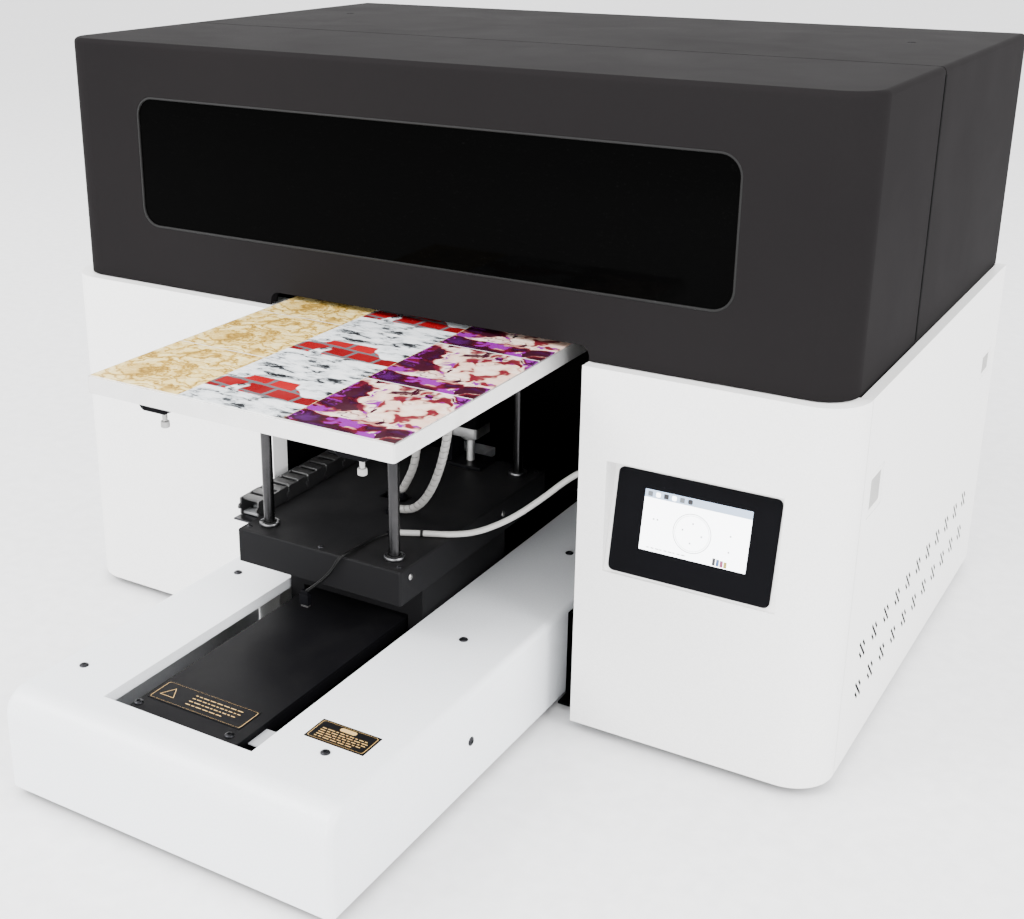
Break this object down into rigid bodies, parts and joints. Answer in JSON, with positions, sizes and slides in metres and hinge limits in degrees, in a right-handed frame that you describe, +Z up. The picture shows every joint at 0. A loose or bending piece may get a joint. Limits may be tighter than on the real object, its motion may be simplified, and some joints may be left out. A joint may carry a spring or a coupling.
{
  "type": "flatbed uv printer",
  "caption": "Desktop flatbed UV printer with a hinged hood over the print head axis and a bed that travels on a lifting carriage between two pods.",
  "frame": {"origin": "centre of the overall box, on the plane that the feet stand on", "axes": "+Z up, -Y towards the operator, where the tray reaches out; the bed travels along Y and the heads along X"},
  "size_m": [0.965, 1.032, 0.686],
  "materials": {
    "rubber_black": "matt moulded rubber",
    "pan_steel": "dark powder-coated sheet steel",
    "white_sheet": "white powder-coated sheet steel",
    "tray_white": "cool white powder-coated sheet steel",
    "latch_white": "white moulded plastic",
    "screw_black": "black oxide steel",
    "black_panel": "satin black aluminium",
    "hood_black": "fine-textured charcoal powder coat on sheet aluminium",
    "window_tint": "dark tinted glossy acrylic",
    "bezel_black": "matt black moulded plastic",
    "screen_lit": "lit touch screen",
    "carriage_black": "matt textured black",
    "rod_steel": "hard-chromed dark steel",
    "bush_steel": "turned steel",
    "bed_aluminium": "bead-blasted anodised aluminium",
    "media_print": "coated print medium with a multi-coloured sample",
    "bracket_black": "black painted steel",
    "thumb_silver": "knurled nickel-plated steel",
    "frame_aluminium": "mill-finish aluminium",
    "motor_dark": "black motor body with light end caps",
    "pulley_alu": "turned aluminium",
    "head_grey": "grey moulded plastic",
    "lamp_metal": "anodised aluminium",
    "ink_plastic": "translucent plastic bottles on a shelf",
    "psu_metal": "galvanised case",
    "board_green": "circuit board",
    "switch_black": "black rocker",
    "chain_black": "black nylon chain with grey crossbars",
    "cable_grey": "light grey cable jacket",
    "wire_black": "thin black wires",
    "hose_wrap": "light grey spiral wrap"
  },
  "bodies": {
    "frame": {"feet": "rubber_black", "base_pan": "pan_steel", "tray_cover": "tray_white", "cover_screws": "screw_black", "left_front_cover": "white_sheet", "right_front_cover": "white_sheet", "hmi_bezel": "bezel_black", "hmi_screen": "screen_lit", "left_side_panel": "white_sheet", "rear_panel": "white_sheet", "bay_liners": "pan_steel", "cable_gland": "rubber_black", "side_frames": "frame_aluminium", "hood_rear_cover": "hood_black", "hinge_brackets": "bracket_black", "y_base_beam": "frame_aluminium", "y_rails": "bush_steel", "y_cover_plate": "black_panel", "screw_supports": "bush_steel", "y_motor": "motor_dark", "gantry": "frame_aluminium", "x_motor": "motor_dark", "capping_station": "head_grey", "ink_tanks": "ink_plastic", "power_supply": "psu_metal", "control_board": "board_green", "power_inlet": "bezel_black"},
    "hood": {"hood_front_cover": "hood_black", "window_pane": "window_tint", "hinge_arms": "bracket_black"},
    "right_panel": {"right_side_panel": "white_sheet"},
    "front_latch": {"front_latch": "latch_white"},
    "rear_latch": {"rear_latch": "latch_white"},
    "carriage": {"carriage_box": "carriage_black", "carriage_saddle": "pan_steel", "bearing_blocks": "bush_steel", "ball_nut": "frame_aluminium", "rod_bushes": "bush_steel", "lift_motor": "motor_dark", "drag_chain": "chain_black", "signal_cable": "cable_grey", "sensor_wire": "wire_black"},
    "table": {"table_plate": "bed_aluminium", "sample_sheet": "media_print", "guide_rods": "rod_steel", "lift_screw": "rod_steel", "level_brackets": "bracket_black", "table_hoses": "hose_wrap"},
    "y_ballscrew": {"y_ballscrew": "bush_steel"},
    "lift_nut": {"lift_nut": "pulley_alu"},
    "lift_pulley": {"lift_pulley": "pulley_alu"},
    "head": {"head_carriage": "frame_aluminium", "print_heads": "head_grey", "uv_lamps": "lamp_metal"},
    "x_pulley": {"x_pulley": "pulley_alu"},
    "power_switch": {"power_switch": "switch_black"},
    "thumb_screw_1": {"thumb_screw_1": "thumb_silver"},
    "thumb_screw_2": {"thumb_screw_2": "thumb_silver"},
    "thumb_screw_3": {"thumb_screw_3": "thumb_silver"},
    "thumb_screw_4": {"thumb_screw_4": "thumb_silver"}
  },
  "joints": [
    {"name": "carriage_slide", "type": "slide", "parent": "frame", "child": "carriage", "axis": [0, 1, 0], "range_m": [-0.24, 0.41], "deforming": ["drag_chain", "signal_cable"]},
    {"name": "y_screw_spin", "type": "hinge", "parent": "frame", "child": "y_ballscrew", "pos_m": [-0.028, 0, 0.07], "axis": [0, 1, 0], "continuous": true},
    {"name": "table_lift", "type": "slide", "parent": "carriage", "child": "table", "axis": [0, 0, 1], "range_m": [-0.1, 0.003], "deforming": ["table_hoses"]},
    {"name": "lift_nut_spin", "type": "hinge", "parent": "carriage", "child": "lift_nut", "pos_m": [-0.106, 0.02, 0.181], "axis": [0, 0, 1], "continuous": true},
    {"name": "lift_pulley_spin", "type": "hinge", "parent": "carriage", "child": "lift_pulley", "pos_m": [-0.013, 0.05, 0.181], "axis": [0, 0, 1], "continuous": true},
    {"name": "head_slide", "type": "slide", "parent": "frame", "child": "head", "axis": [1, 0, 0], "range_m": [-0.6, 0]},
    {"name": "x_pulley_spin", "type": "hinge", "parent": "frame", "child": "x_pulley", "pos_m": [-0.415, 0.062, 0.601], "axis": [0, 1, 0], "continuous": true},
    {"name": "hood_hinge", "type": "hinge", "parent": "frame", "child": "hood", "pos_m": [0, 0.099, 0.678], "axis": [-1, 0, 0], "range_deg": [0, 65]},
    {"name": "right_panel_pull", "type": "slide", "parent": "frame", "child": "right_panel", "axis": [1, 0, 0], "range_m": [0, 0.15]},
    {"name": "front_latch_flap", "type": "hinge", "parent": "right_panel", "child": "front_latch", "pos_m": [0.4815, -0.031, 0.3245], "axis": [0, -1, 0], "range_deg": [0, 60]},
    {"name": "rear_latch_flap", "type": "hinge", "parent": "right_panel", "child": "rear_latch", "pos_m": [0.4815, 0.458, 0.3095], "axis": [0, -1, 0], "range_deg": [0, 60]},
    {"name": "thumb_screw_1_turn", "type": "hinge", "parent": "table", "child": "thumb_screw_1", "pos_m": [-0.095, -0.383, 0.385], "axis": [0, 0, 1], "continuous": true},
    {"name": "thumb_screw_2_turn", "type": "hinge", "parent": "table", "child": "thumb_screw_2", "pos_m": [0.13, -0.383, 0.385], "axis": [0, 0, 1], "continuous": true},
    {"name": "thumb_screw_3_turn", "type": "hinge", "parent": "table", "child": "thumb_screw_3", "pos_m": [-0.095, -0.02, 0.385], "axis": [0, 0, 1], "continuous": true},
    {"name": "thumb_screw_4_turn", "type": "hinge", "parent": "table", "child": "thumb_screw_4", "pos_m": [0.13, -0.02, 0.385], "axis": [0, 0, 1], "continuous": true},
    {"name": "power_switch_rock", "type": "hinge", "parent": "frame", "child": "power_switch", "pos_m": [0.385, 0.507, 0.109], "axis": [1, 0, 0], "range_deg": [0, 14]}
  ],
  "couplings": [
    {"joint": "y_screw_spin", "follows": "carriage_slide", "rad_per_m": 392.7},
    {"joint": "lift_nut_spin", "follows": "table_lift", "rad_per_m": 785.4},
    {"joint": "lift_pulley_spin", "follows": "table_lift", "rad_per_m": 1396.3},
    {"joint": "x_pulley_spin", "follows": "head_slide", "rad_per_m": 100}
  ]
}
